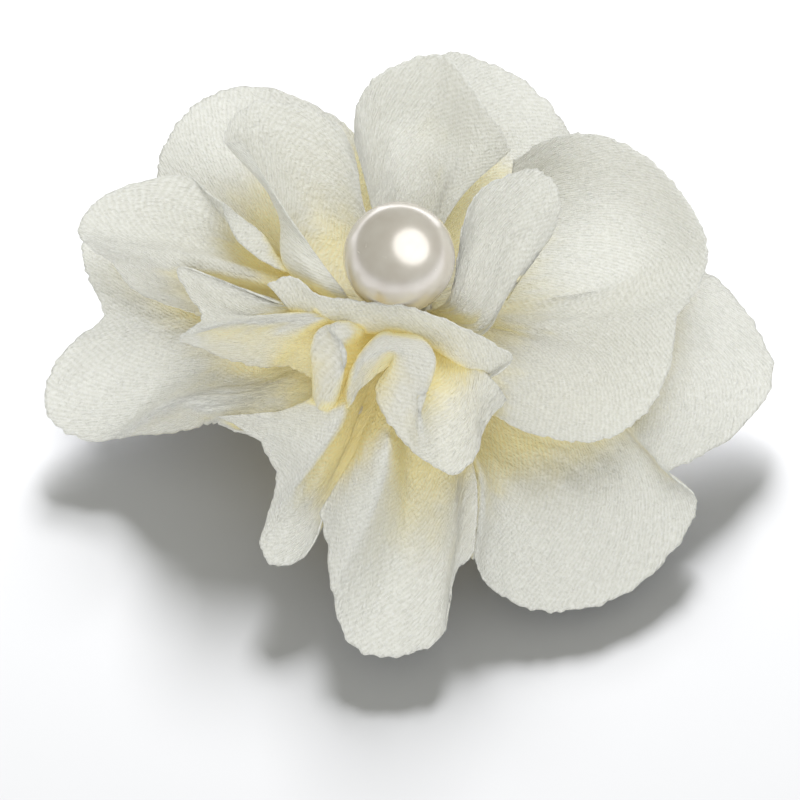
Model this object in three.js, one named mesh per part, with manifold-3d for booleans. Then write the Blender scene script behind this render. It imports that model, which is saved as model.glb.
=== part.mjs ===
// A fabric flower on a sprung hair clip, as the scene graph of its separate pieces.
// Millimetres, +Z up. The clip lies along X with its flat underside on z = 0, the flower's
// stem is the Z axis, and the clip's hinge turns about Y.
import * as THREE from "three";
import { mergeVertices } from "three/addons/utils/BufferGeometryUtils.js";
import Module from "manifold-3d";

const wasm = await Module();
wasm.setup();

// ---- driving dimensions ----
const PEARL_DIAMETER = 12;
const PEARL_HEIGHT = 20.4; // of its centre, above the underside of the clip
const STEM_RADIUS = 0.3;
const DRILL_RADIUS = 0.6;
const DRILL_DEPTH = 5;

const CLIP_TIP_X = 20;
const CLIP_TAIL_X = -26;
const ARM_WIDTH = 8;
const SHEET = 0.8; // thickness of the pressed steel
const CLIP_HEIGHT = 7; // from the underside of the jaw to the top of the arm
const HINGE_X = -12;
const HINGE_Z = CLIP_HEIGHT / 2;
const PIN_RADIUS = 0.75;
const PIN_HOLE_RADIUS = 1.05;
const RIVET_RADIUS = 1.3;
const EAR_RADIUS = 2.3;
const EAR_THICKNESS = 0.6;
const EAR_GAP = 0.35; // between the arm's ears and the jaw's
const NOSE_LENGTH = 3; // the bent part of each arm, at its tip
const TEETH = 2; // rows of teeth across each nose
const TOOTH_PITCH = 0.45;
const TOOTH_DEPTH = 0.25;

const SPRING_WIRE = 0.6;
const SPRING_RADIUS = 1.5; // to the middle of the wire
const SPRING_TURNS = 3; // whole turns, before the ends run on to their legs
const SPRING_PITCH = 0.9;
const SPRING_LEG = 8;

const GLUE_THICKNESS = 0.6;
const FELT_RADIUS = 13;
const FELT_THICKNESS = 1;
const BASE_RADIUS = 8;
const BASE_THICKNESS = 0.6;

const PETAL_THICKNESS = 0.7;
const GATHER_RADIUS = 4; // where the petals' gathered edges begin
const THREAD_BUNDLE = 0.5; // half the thickness of the wound thread that draws a ring of petals in

const FELT_Z = CLIP_HEIGHT + GLUE_THICKNESS;
const BASE_Z = FELT_Z + FELT_THICKNESS;
const PETALS_Z = BASE_Z + BASE_THICKNESS;

// ---- materials ----
const standard = (color, roughness, metalness) =>
  new THREE.MeshStandardMaterial({ color, roughness, metalness });
const nickel = standard(0xc9c7c2, 0.25, 1);
const springSteel = standard(0xb4b4b6, 0.3, 1);
const crepe = standard(0xece9dc, 0.75, 0);
const felt = standard(0xf2efe6, 0.95, 0);
const buckram = standard(0xf4f1e8, 0.85, 0);
const glue = standard(0xefe6c8, 0.4, 0);
const thread = standard(0xeae6d6, 0.7, 0);
const pearlCoat = standard(0xe9e2dc, 0.2, 0);

const clip = new THREE.Group();
const group = new THREE.Group();
group.add(clip);

function place(parent, name, geometry, material) {
  const mesh = new THREE.Mesh(geometry, material);
  mesh.name = name;
  parent.add(mesh);
  return mesh;
}

// ---- solids that are cut or joined ----
function solidOf(geometry) {
  const bare = geometry.clone();
  bare.deleteAttribute("normal");
  bare.deleteAttribute("uv");
  const merged = mergeVertices(bare, 1e-4);
  const mesh = new wasm.Mesh({
    numProp: 3,
    vertProperties: merged.attributes.position.array,
    triVerts: new Uint32Array(merged.index.array),
  });
  return new wasm.Manifold(mesh);
}

function geometryOf(solid) {
  const mesh = solid.getMesh();
  const geometry = new THREE.BufferGeometry();
  geometry.setAttribute("position", new THREE.BufferAttribute(mesh.vertProperties, 3));
  geometry.setIndex(new THREE.BufferAttribute(mesh.triVerts, 1));
  return geometry;
}

// A shape drawn in X and Z, given a width along Y from y to y + width.
function extrudeAcross(shape, y, width, curveSegments = 10) {
  const geometry = new THREE.ExtrudeGeometry(shape, {
    depth: width,
    bevelEnabled: false,
    curveSegments,
  });
  geometry.rotateX(Math.PI / 2);
  geometry.translate(0, y + width, 0);
  return geometry;
}

// A cylinder along Y, centred on the hinge line.
function crossPin(radius, y, length, sides = 20) {
  const geometry = new THREE.CylinderGeometry(radius, radius, length, sides);
  geometry.translate(HINGE_X, y + length / 2, HINGE_Z);
  return geometry;
}

// ---- the clip's two pressed arms ----
// Both have the same side view: a flat strip whose nose bends in to the middle of the clip.
// side is 1 for the arm above the hinge line and -1 for the jaw below it.
function armStrip(side) {
  const outer = HINGE_Z + side * (CLIP_HEIGHT / 2);
  const inner = outer - side * SHEET;
  const bite = HINGE_Z + side * 0.2;
  const bend = CLIP_TIP_X - NOSE_LENGTH;
  const strip = new THREE.Shape();
  strip.moveTo(CLIP_TAIL_X, outer);
  strip.lineTo(bend, outer);
  strip.quadraticCurveTo(CLIP_TIP_X, outer, CLIP_TIP_X, bite);
  for (let tooth = 0; tooth < TEETH; tooth++) {
    strip.lineTo(CLIP_TIP_X - (tooth + 0.5) * TOOTH_PITCH, bite + side * TOOTH_DEPTH);
    strip.lineTo(CLIP_TIP_X - (tooth + 1) * TOOTH_PITCH, bite);
  }
  strip.quadraticCurveTo(CLIP_TIP_X - SHEET, inner, bend - 0.4, inner);
  strip.lineTo(CLIP_TAIL_X, inner);
  strip.closePath();
  return solidOf(extrudeAcross(strip, -ARM_WIDTH / 2, ARM_WIDTH));
}

// One ear: a plate round the hinge pin that reaches into its arm's strip.
function ear(side, y) {
  const root = HINGE_Z + side * (CLIP_HEIGHT / 2 - SHEET / 2);
  const plate = new THREE.Shape();
  plate.moveTo(HINGE_X - EAR_RADIUS, root);
  plate.lineTo(HINGE_X - EAR_RADIUS, HINGE_Z);
  plate.absarc(HINGE_X, HINGE_Z, EAR_RADIUS, Math.PI, side > 0 ? 2 * Math.PI : 0, side < 0);
  plate.lineTo(HINGE_X + EAR_RADIUS, root);
  plate.closePath();
  return solidOf(extrudeAcross(plate, y, EAR_THICKNESS));
}

function pressedArm(side, earOffset) {
  const hole = solidOf(crossPin(PIN_HOLE_RADIUS, -ARM_WIDTH, 2 * ARM_WIDTH));
  return armStrip(side)
    .add(ear(side, earOffset))
    .add(ear(side, -earOffset - EAR_THICKNESS))
    .subtract(hole);
}

// The outer corners of the thumb tabs and the nose are rounded off in plan.
function roundedInPlan(solid) {
  const corner = 2.2;
  const half = ARM_WIDTH / 2;
  const plan = new THREE.Shape();
  plan.moveTo(CLIP_TAIL_X + corner, -half);
  plan.lineTo(CLIP_TIP_X - corner, -half);
  plan.quadraticCurveTo(CLIP_TIP_X, -half, CLIP_TIP_X, -half + corner);
  plan.lineTo(CLIP_TIP_X, half - corner);
  plan.quadraticCurveTo(CLIP_TIP_X, half, CLIP_TIP_X - corner, half);
  plan.lineTo(CLIP_TAIL_X + corner, half);
  plan.quadraticCurveTo(CLIP_TAIL_X, half, CLIP_TAIL_X, half - corner);
  plan.lineTo(CLIP_TAIL_X, -half + corner);
  plan.quadraticCurveTo(CLIP_TAIL_X, -half, CLIP_TAIL_X + corner, -half);
  const block = new THREE.ExtrudeGeometry(plan, {
    depth: 2 * CLIP_HEIGHT,
    bevelEnabled: false,
    curveSegments: 5,
  });
  block.translate(0, 0, -CLIP_HEIGHT / 2);
  return solid.intersect(solidOf(block));
}

const armEar = ARM_WIDTH / 2 - EAR_THICKNESS;
const jawEar = armEar - EAR_GAP - EAR_THICKNESS;
place(clip, "upper_arm", geometryOf(roundedInPlan(pressedArm(1, armEar))), nickel);
place(clip, "lower_jaw", geometryOf(roundedInPlan(pressedArm(-1, jawEar))), nickel);

// The pin is a rivet: a shank with a flat head outside each of the arm's ears.
const headGap = 0.15;
const headThickness = 0.5;
const shankReach = ARM_WIDTH / 2 + headGap;
const pinSolid = solidOf(crossPin(PIN_RADIUS, -shankReach - 0.1, 2 * shankReach + 0.2))
  .add(solidOf(crossPin(RIVET_RADIUS, shankReach, headThickness)))
  .add(solidOf(crossPin(RIVET_RADIUS, -shankReach - headThickness, headThickness)));
place(clip, "hinge_pin", geometryOf(pinSolid), nickel);

// ---- the torsion spring: a coil round the pin, with a leg to each thumb tab ----
function springGeometry() {
  const points = [];
  const legAngle = THREE.MathUtils.degToRad(72); // above and below the clip's length
  const total = 2 * Math.PI * SPRING_TURNS + 2 * legAngle;
  const width = (SPRING_PITCH * total) / (2 * Math.PI);
  const steps = Math.round((14 * total) / (2 * Math.PI));
  const coil = (fraction) => {
    const angle = legAngle - fraction * total;
    return new THREE.Vector3(
      HINGE_X + SPRING_RADIUS * Math.cos(angle),
      (fraction - 0.5) * width,
      HINGE_Z + SPRING_RADIUS * Math.sin(angle),
    );
  };
  const first = coil(0);
  const last = coil(1);
  // each leg slopes so that its end bears on the inner face of its tab
  const touch = 0.05;
  const tabHeight = CLIP_HEIGHT / 2 - SHEET - SPRING_WIRE / 2 - touch;
  const slope = (tabHeight - (first.z - HINGE_Z)) / SPRING_LEG;
  const legs = [first, last].map((end, index) => {
    const side = index === 0 ? 1 : -1;
    return (along) =>
      new THREE.Vector3(end.x - along, end.y, end.z + side * along * slope);
  });
  for (const along of [SPRING_LEG, SPRING_LEG / 2, 1]) points.push(legs[0](along));
  for (let step = 0; step <= steps; step++) points.push(coil(step / steps));
  for (const along of [1, SPRING_LEG / 2, SPRING_LEG]) points.push(legs[1](along));
  const section = new THREE.Shape();
  section.absarc(0, 0, SPRING_WIRE / 2, 0, 2 * Math.PI);
  return new THREE.ExtrudeGeometry(section, {
    steps: points.length + 8,
    curveSegments: 6,
    extrudePath: new THREE.CatmullRomCurve3(points, false, "centripetal"),
  });
}
place(clip, "torsion_spring", springGeometry(), springSteel);

// ---- what the flower is mounted on ----
function flatPad(outline, z, thickness) {
  const geometry = new THREE.ExtrudeGeometry(outline, {
    depth: thickness,
    bevelEnabled: false,
    curveSegments: 14,
  });
  geometry.translate(0, 0, z);
  return geometry;
}

function circle(radius) {
  const outline = new THREE.Shape();
  outline.absarc(0, 0, radius, 0, 2 * Math.PI);
  return outline;
}

function glueOutline() {
  const halfLength = FELT_RADIUS - 2;
  const half = ARM_WIDTH / 2 - 0.6;
  const outline = new THREE.Shape();
  outline.moveTo(-halfLength + half, -half);
  outline.lineTo(halfLength - half, -half);
  outline.absarc(halfLength - half, 0, half, -Math.PI / 2, Math.PI / 2);
  outline.lineTo(-halfLength + half, half);
  outline.absarc(-halfLength + half, 0, half, Math.PI / 2, (3 * Math.PI) / 2);
  return outline;
}

place(group, "glue_pad", flatPad(glueOutline(), CLIP_HEIGHT, GLUE_THICKNESS), glue);
place(group, "felt_disc", flatPad(circle(FELT_RADIUS), FELT_Z, FELT_THICKNESS), felt);
place(group, "base_disc", flatPad(circle(BASE_RADIUS), BASE_Z, BASE_THICKNESS), buckram);

// ---- petals ----
// Each ring of petals has a height at which its gathered edges start, and a power that says
// how late along a petal its rise or droop comes. The collar is sewn over the inner ring.
const RINGS = {
  outer: { start: PETALS_Z + 0.4, bend: 2 },
  middle: { start: PETALS_Z + 1.7, bend: 1.3 },
  inner: { start: PETALS_Z + 3.2, bend: 1.1 },
};
const COLLAR = { start: PETALS_Z + 4.4, bend: 1.1 };

// A petal's rim runs through [azimuth in degrees, reach, height above the table].
const PETALS = {
  outer_petal_front: [RINGS.outer, [
    [-112, 25.5, 7.0], [-104, 33, 5.2], [-93, 39, 3.6], [-83, 37, 4.2], [-74, 29.5, 6.2],
  ]],
  outer_petal_right: [RINGS.outer, [
    [-69, 28, 6.0], [-63, 37, 3.4], [-50, 39.5, 2.8], [-36, 37.5, 3.0], [-29, 33.5, 5.0],
    [-20, 37.5, 4.4], [-6, 40.5, 5.0], [6, 37.5, 7.5], [12, 32, 9.0],
  ]],
  outer_petal_back_right: [RINGS.outer, [
    [38, 28, 9.8], [49, 30, 10.8], [60, 33, 12.0], [74, 35, 12.6], [86, 33, 12.4],
  ]],
  outer_petal_back_left: [RINGS.outer, [
    [98, 24, 12.0], [108, 29, 12.4], [122, 35, 12.6], [136, 35.5, 12.0], [148, 31, 10.6],
  ]],
  outer_petal_left: [RINGS.outer, [
    [160, 35, 10.0], [172, 35, 9.4], [180, 33.5, 8.2], [188, 38, 6.0], [198, 38, 4.4],
    [206, 31, 5.5], [213, 23.5, 7.6], [223, 20, 8.6], [232, 18.5, 9.0],
  ]],
  middle_petal_front: [RINGS.middle, [
    [-145, 22.5, 10.0], [-131, 23, 9.3], [-119, 30.5, 7.8], [-112, 32, 7.6], [-107, 27, 9.0],
  ]],
  middle_petal_right: [RINGS.middle, [
    [-56, 17, 12.0], [-42, 24.5, 10.3], [-26, 29.5, 10.6], [-6, 30, 13.6], [8, 33, 17.0],
    [22, 32, 19.0], [36, 29, 19.2], [48, 24, 17.5],
  ]],
  middle_petal_back: [RINGS.middle, [
    [60, 22.5, 17.5], [72, 26, 19.8], [82, 28.5, 20.6], [92, 27, 20.4], [100, 22.5, 18.5],
  ]],
  middle_petal_back_left: [RINGS.middle, [
    [106, 19, 17.0], [115, 23, 19.2], [124, 26, 19.8], [133, 26.5, 19.4], [140, 23, 18.5],
  ]],
  middle_petal_left: [RINGS.middle, [
    [147, 25, 16.5], [156, 31, 17.0], [165, 34.5, 17.0], [173, 33, 15.0], [179, 25.5, 12.6],
  ]],
  inner_petal_right: [RINGS.inner, [
    [-8, 12, 18.0], [6, 16, 21.5], [17, 17.5, 24.0], [28, 16.5, 24.5], [36, 12, 24.0],
  ]],
  inner_petal_front: [RINGS.inner, [
    [-143, 13.5, 13.2], [-125, 15, 13.2], [-110, 15.5, 13.5], [-96, 15, 14.2],
    [-84, 20, 13.2], [-75, 22.5, 12.9], [-66, 21, 13.0], [-53, 18, 13.8],
  ]],
  inner_petal_left: [RINGS.inner, [
    [176, 22, 15.2], [186, 21.5, 15.0], [195, 24, 14.6], [204, 19.5, 13.4], [212, 15.5, 12.9],
  ]],
  inner_petal_collar: [COLLAR, [
    [-173, 13.5, 17.2], [-150, 9.5, 18.6], [-112, 7.4, 19.4], [-85, 7.4, 19.4],
    [-60, 9, 18.8], [-44, 15, 17.2],
  ]],
};

const onRim = ([azimuth, reach, height]) => {
  const angle = THREE.MathUtils.degToRad(azimuth);
  return new THREE.Vector3(reach * Math.cos(angle), reach * Math.sin(angle), height);
};

// A closed cupped sheet between the gathered edge and the rim. The vertices run in rows from
// the gathered edge out, first the under side, then the upper side.
function petalGeometry({ start, bend }, rim) {
  const curve = new THREE.CatmullRomCurve3(rim.map(onRim), false, "centripetal");
  const across = 2 * rim.length + 2;
  const along = 6;
  const positions = [];
  for (const lift of [0, PETAL_THICKNESS]) {
    for (let row = 0; row <= along; row++) {
      const out = row / along;
      for (let column = 0; column <= across; column++) {
        const tip = curve.getPoint(column / across);
        const reach = Math.hypot(tip.x, tip.y);
        const radius = THREE.MathUtils.lerp(GATHER_RADIUS, reach, out);
        const height = THREE.MathUtils.lerp(start, tip.z, out ** bend);
        positions.push((tip.x / reach) * radius, (tip.y / reach) * radius, height + lift);
      }
    }
  }
  const row = across + 1;
  const sheet = row * (along + 1);
  const index = [];
  const quad = (a, b, c, d) => index.push(a, b, c, a, c, d);
  for (let j = 0; j < along; j++) {
    for (let i = 0; i < across; i++) {
      const a = j * row + i;
      quad(a, a + 1, a + row + 1, a + row);
      quad(sheet + a, sheet + a + row, sheet + a + row + 1, sheet + a + 1);
    }
    const left = j * row;
    const right = left + across;
    quad(left, left + row, sheet + left + row, sheet + left);
    quad(right, sheet + right, sheet + right + row, right + row);
  }
  for (let i = 0; i < across; i++) {
    const far = along * row + i;
    quad(i, sheet + i, sheet + i + 1, i + 1);
    quad(far, far + 1, sheet + far + 1, sheet + far);
  }
  const geometry = new THREE.BufferGeometry();
  geometry.setAttribute("position", new THREE.Float32BufferAttribute(positions, 3));
  geometry.setIndex(index);
  return geometry;
}

for (const [name, [gathering, rim]] of Object.entries(PETALS)) {
  place(group, name, petalGeometry(gathering, rim), crepe);
}

// ---- threads: each ring of petals is drawn in by its own thread, wound round the stem ----
for (const [ringName, { start }] of Object.entries(RINGS)) {
  const wound = GATHER_RADIUS - 2 * THREAD_BUNDLE - 0.1;
  const bundle = new THREE.TorusGeometry(wound, THREAD_BUNDLE, 6, 20);
  bundle.translate(0, 0, start + PETAL_THICKNESS / 2);
  place(group, ringName + "_gather_thread", bundle, thread);
}

// ---- the pearl, drilled from below, on its stem ----
const pearlRadius = PEARL_DIAMETER / 2;
const ball = new THREE.SphereGeometry(pearlRadius, 24, 16);
ball.rotateX(Math.PI / 2);
ball.translate(0, 0, PEARL_HEIGHT);
const drill = new THREE.CylinderGeometry(DRILL_RADIUS, DRILL_RADIUS, 2 * DRILL_DEPTH, 12);
drill.rotateX(Math.PI / 2);
drill.translate(0, 0, PEARL_HEIGHT - pearlRadius);
place(group, "pearl", geometryOf(solidOf(ball).subtract(solidOf(drill))), pearlCoat);

const stemTop = PEARL_HEIGHT - pearlRadius + DRILL_DEPTH - 0.3;
const stem = new THREE.CylinderGeometry(STEM_RADIUS, STEM_RADIUS, stemTop - PETALS_Z, 10);
stem.rotateX(Math.PI / 2);
stem.translate(0, 0, (stemTop + PETALS_Z) / 2);
place(group, "pearl_stem", stem, springSteel);

export default group;
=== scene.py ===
# %% [markdown]
# # A fabric flower on a hair clip
# An ivory flower of gathered crepe satin, with one imitation pearl at its heart, glued to a
# sprung steel clip. The clip comes from the CAD model, and keeps its shape. The petals, the
# pearl and the soft backing are made here, over the plain solids that hold their places.

# %% The frame and its box
import math

import bmesh
import bpy
import numpy as np
from mathutils import Matrix, Vector, noise
from mathutils.bvhtree import BVHTree


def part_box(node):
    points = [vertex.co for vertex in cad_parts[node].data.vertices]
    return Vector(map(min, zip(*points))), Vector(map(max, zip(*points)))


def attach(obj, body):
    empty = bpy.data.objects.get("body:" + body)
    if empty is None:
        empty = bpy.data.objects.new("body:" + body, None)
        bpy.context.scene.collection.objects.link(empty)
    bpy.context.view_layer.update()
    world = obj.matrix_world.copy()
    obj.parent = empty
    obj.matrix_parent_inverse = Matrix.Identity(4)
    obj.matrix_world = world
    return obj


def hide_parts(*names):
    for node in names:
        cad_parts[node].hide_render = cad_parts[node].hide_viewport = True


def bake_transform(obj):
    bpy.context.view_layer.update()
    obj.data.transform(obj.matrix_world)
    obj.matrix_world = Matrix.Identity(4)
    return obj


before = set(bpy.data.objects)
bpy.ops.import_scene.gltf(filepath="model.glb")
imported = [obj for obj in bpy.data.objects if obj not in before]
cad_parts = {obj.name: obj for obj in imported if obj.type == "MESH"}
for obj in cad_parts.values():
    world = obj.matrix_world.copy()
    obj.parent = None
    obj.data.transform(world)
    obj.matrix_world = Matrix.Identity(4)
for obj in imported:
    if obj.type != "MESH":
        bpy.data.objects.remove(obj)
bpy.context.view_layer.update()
MM = 0.001

# %% [markdown]
# ## Camera, light and floor
# The flower is looked at from the front and above, with a long lens, so that it is hardly
# foreshortened. Cloth as white as this shows its folds only by how they turn to the light, so
# it has two soft panels of its own, one above and behind, one low in front. The pearl mirrors
# its panel as one round highlight. The last panel, low behind the flower, lights only the
# table, and draws the flower's shadow forward on it.

# %% Camera
scene = bpy.context.scene
VIEW_ELEVATION = math.radians(55)
VIEW_DISTANCE = 380 * MM
LOOK_AT = Vector((0.1, -4.3, 0)) * MM

camera_data = bpy.data.cameras.new("studio_camera")
camera_data.lens = 154
camera_data.sensor_width = 36
camera = bpy.data.objects.new("studio_camera", camera_data)
scene.collection.objects.link(camera)
away = Vector((0, -math.cos(VIEW_ELEVATION), math.sin(VIEW_ELEVATION)))
camera.location = LOOK_AT + away * VIEW_DISTANCE
camera.rotation_euler = away.to_track_quat("Z", "Y").to_euler()
scene.camera = camera
print("camera at", [round(c, 3) for c in camera.location])


# %% Lights
def soft_panel(name, azimuth, elevation, distance, size, watts, colour):
    """A round area light that faces the flower's heart."""
    panel = bpy.data.lights.new(name, "AREA")
    panel.shape = "DISK"
    panel.size = size
    panel.energy = watts
    panel.color = colour
    light = bpy.data.objects.new(name, panel)
    scene.collection.objects.link(light)
    a, e = math.radians(azimuth), math.radians(elevation)
    towards = Vector((math.sin(a) * math.cos(e), -math.cos(a) * math.cos(e), math.sin(e)))
    light.location = Vector((0, 0, 10 * MM)) + towards * distance
    light.rotation_euler = towards.to_track_quat("Z", "Y").to_euler()
    light.visible_camera = False
    return light


pearl_panel = soft_panel("pearl_panel", 66, 62, 0.50, 0.74, 1.85, (0.98, 0.99, 1.0))
over_panel = soft_panel("over_panel", 160, 62, 0.50, 0.45, 1.20, (0.965, 0.99, 1.03))
front_panel = soft_panel("front_panel", -12, 30, 0.50, 0.40, 0.86, (0.965, 0.99, 1.03))
shadow_panel = soft_panel("shadow_panel", 178, 32, 0.60, 0.20, 7.8, (1.0, 0.985, 0.93))

world = bpy.data.worlds.new("studio_room")
scene.world = world
world.use_nodes = True
world.node_tree.nodes["Background"].inputs["Color"].default_value = (1.0, 0.99, 0.85, 1)
world.node_tree.nodes["Background"].inputs["Strength"].default_value = 0.42
scene.view_settings.view_transform = "Standard"

# %% [markdown]
# ## Materials
# Every finish is a Principled shader. What changes over a surface, such as the weave, comes
# from node groups, which are built once and placed in each material with their own values.


# %% Helpers for shader nodes
def new_group(name, inputs, outputs):
    """An empty shader node group with its sockets."""
    group = bpy.data.node_groups.new(name, "ShaderNodeTree")
    for direction, sockets in (("INPUT", inputs), ("OUTPUT", outputs)):
        for socket_name, kind, value in sockets:
            socket = group.interface.new_socket(socket_name, in_out=direction, socket_type=kind)
            if value is not None:
                socket.default_value = value
    return group


def add_node(tree, kind, **values):
    """A node whose settings are given by name; a name that is an input sets that input."""
    node = tree.nodes.new(kind)
    for name, value in values.items():
        key = name.replace("_", " ").title() if not hasattr(node, name) else name
        if hasattr(node, name):
            setattr(node, name, value)
        else:
            node.inputs[key].default_value = value
    return node


def math_node(tree, operation, first, second):
    """A Math node; each value is a number or an output socket."""
    node = tree.nodes.new("ShaderNodeMath")
    node.operation = operation
    for index, value in enumerate((first, second)):
        if isinstance(value, bpy.types.NodeSocket):
            tree.links.new(value, node.inputs[index])
        else:
            node.inputs[index].default_value = value
    return node.outputs[0]


def ramp_node(tree, factor, stops):
    """A colour ramp through (place, colour) stops."""
    node = tree.nodes.new("ShaderNodeValToRGB")
    while len(node.color_ramp.elements) < len(stops):
        node.color_ramp.elements.new(0.5)
    for element, (place, colour) in zip(node.color_ramp.elements, stops):
        element.position = place
        element.color = (*colour, 1)
    tree.links.new(factor, node.inputs["Fac"])
    return node.outputs["Color"]


def mix_colours(tree, share, first, second):
    """The first colour with a share of the second in it; each is an output or a plain colour."""
    node = tree.nodes.new("ShaderNodeMix")
    node.data_type = "RGBA"
    tree.links.new(share, node.inputs["Factor"])
    for socket, colour in ((node.inputs["A"], first), (node.inputs["B"], second)):
        if isinstance(colour, bpy.types.NodeSocket):
            tree.links.new(colour, socket)
        else:
            socket.default_value = colour
    return node.outputs["Result"]


def principled(name, **sockets):
    """A material with its constant values set on the shader's own sockets."""
    material = bpy.data.materials.new(name)
    material.use_nodes = True
    shader = material.node_tree.nodes["Principled BSDF"]
    for socket_name, value in sockets.items():
        shader.inputs[socket_name.replace("_", " ")].default_value = value
    return material, material.node_tree, shader


# %% [markdown]
# ### Hammered crepe satin
# The cloth is taken to be a polyester crepe: fine twill lines, small dents as if hammered,
# short glossy streaks along the threads, and here and there a bright glint. Its cut edges show
# no fringe, as if singed. The pattern follows each petal's own UV map, which is laid out in
# millimetres of flat cloth. The weave bends with the petal and keeps its size near the rim, and
# is squeezed towards the gathers.


# %% Weave group
WAVE_LINES_PER_UNIT = 2.25
GLINT_REACH, GLINTS_FROM = 0.30, 0.72
HEIGHTS = {"twill": 0.26, "streaks": 0.25, "grain": 1.6, "dents": 0.9}
TONES = {"twill": 0.16, "streaks": 0.14, "grain": 0.70}


def build_weave_group():
    """Crepe by its flat place in millimetres: height for bump, tone and glints for the colour."""
    group = new_group(
        "crepe_weave",
        [
            ("Cloth", "NodeSocketVector", None),
            ("Twill Lines per mm", "NodeSocketFloat", 2.4),
            ("Grains per mm", "NodeSocketFloat", 2.7),
            ("Dents per mm", "NodeSocketFloat", 1.9),
            ("Glints per mm", "NodeSocketFloat", 2.4),
        ],
        [
            ("Height", "NodeSocketFloat", None),
            ("Tone", "NodeSocketFloat", None),
            ("Glints", "NodeSocketFloat", None),
        ],
    )
    nodes, links = group.nodes, group.links
    given = nodes.new("NodeGroupInput")
    result = nodes.new("NodeGroupOutput")

    twill = add_node(group, "ShaderNodeTexWave", bands_direction="DIAGONAL")
    twill.inputs["Distortion"].default_value = 5.0
    twill.inputs["Detail"].default_value = 3
    twill.inputs["Detail Scale"].default_value = 0.5
    links.new(given.outputs["Cloth"], twill.inputs["Vector"])
    lines = math_node(group, "DIVIDE", given.outputs["Twill Lines per mm"], WAVE_LINES_PER_UNIT)
    links.new(lines, twill.inputs["Scale"])

    stretch = add_node(group, "ShaderNodeMapping")
    stretch.inputs["Scale"].default_value = (1.0, 2.4, 1)
    stretch.inputs["Rotation"].default_value = (0, 0, math.radians(24))
    links.new(given.outputs["Cloth"], stretch.inputs["Vector"])
    streaks = nodes.new("ShaderNodeTexNoise")
    streaks.inputs["Scale"].default_value = 1.5
    streaks.inputs["Detail"].default_value = 3
    streaks.inputs["Roughness"].default_value = 0.7
    links.new(stretch.outputs["Vector"], streaks.inputs["Vector"])

    grain = nodes.new("ShaderNodeTexNoise")
    grain.inputs["Detail"].default_value = 2
    grain.inputs["Roughness"].default_value = 0.6
    grain.inputs["Distortion"].default_value = 0.6
    links.new(given.outputs["Cloth"], grain.inputs["Vector"])
    links.new(given.outputs["Grains per mm"], grain.inputs["Scale"])

    dents = nodes.new("ShaderNodeTexVoronoi")
    dents.feature = "SMOOTH_F1"
    dents.inputs["Smoothness"].default_value = 0.6
    links.new(given.outputs["Cloth"], dents.inputs["Vector"])
    links.new(given.outputs["Dents per mm"], dents.inputs["Scale"])

    glint_field = nodes.new("ShaderNodeTexVoronoi")
    links.new(given.outputs["Cloth"], glint_field.inputs["Vector"])
    links.new(given.outputs["Glints per mm"], glint_field.inputs["Scale"])
    near = math_node(group, "LESS_THAN", glint_field.outputs["Distance"], GLINT_REACH)
    picked = math_node(group, "GREATER_THAN", glint_field.outputs["Color"], GLINTS_FROM)
    glints = math_node(group, "MULTIPLY", near, picked)

    sources = {
        "twill": twill.outputs["Fac"],
        "streaks": streaks.outputs["Fac"],
        "grain": grain.outputs["Fac"],
        "dents": dents.outputs["Distance"],
    }

    def weighted_sum(weights):
        total = None
        for source_name, weight in weights.items():
            part = math_node(group, "MULTIPLY", sources[source_name], weight)
            total = part if total is None else math_node(group, "ADD", total, part)
        return total

    links.new(weighted_sum(HEIGHTS), result.inputs["Height"])
    links.new(weighted_sum(TONES), result.inputs["Tone"])
    links.new(glints, result.inputs["Glints"])
    return group


crepe_weave = build_weave_group()
print("node group", crepe_weave.name, "with", len(crepe_weave.nodes), "nodes")


# %% Crepe satin
FACE_TONES = [(0.38, (0.85, 0.845, 0.775)), (0.62, (0.985, 0.98, 0.93))]
# The golden tones and the glow below are painted warm shade and painted light for the sheltered
# folds.
PAINTED_SHADE_TONES = [(0.38, (0.94, 0.85, 0.48)), (0.62, (0.985, 0.92, 0.61))]
PAINTED_GLOW_COLOUR = (0.085, 0.067, 0.024, 1)
GLINT_COLOUR = (1.0, 1.0, 0.98, 1)
OPEN_TO, DEEP_FROM = 0.14, 0.56
GLINT_SHARE = 0.6
DULLEST, TONE_SHINE, GLINT_SHINE = 0.72, -0.30, -0.35


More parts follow.
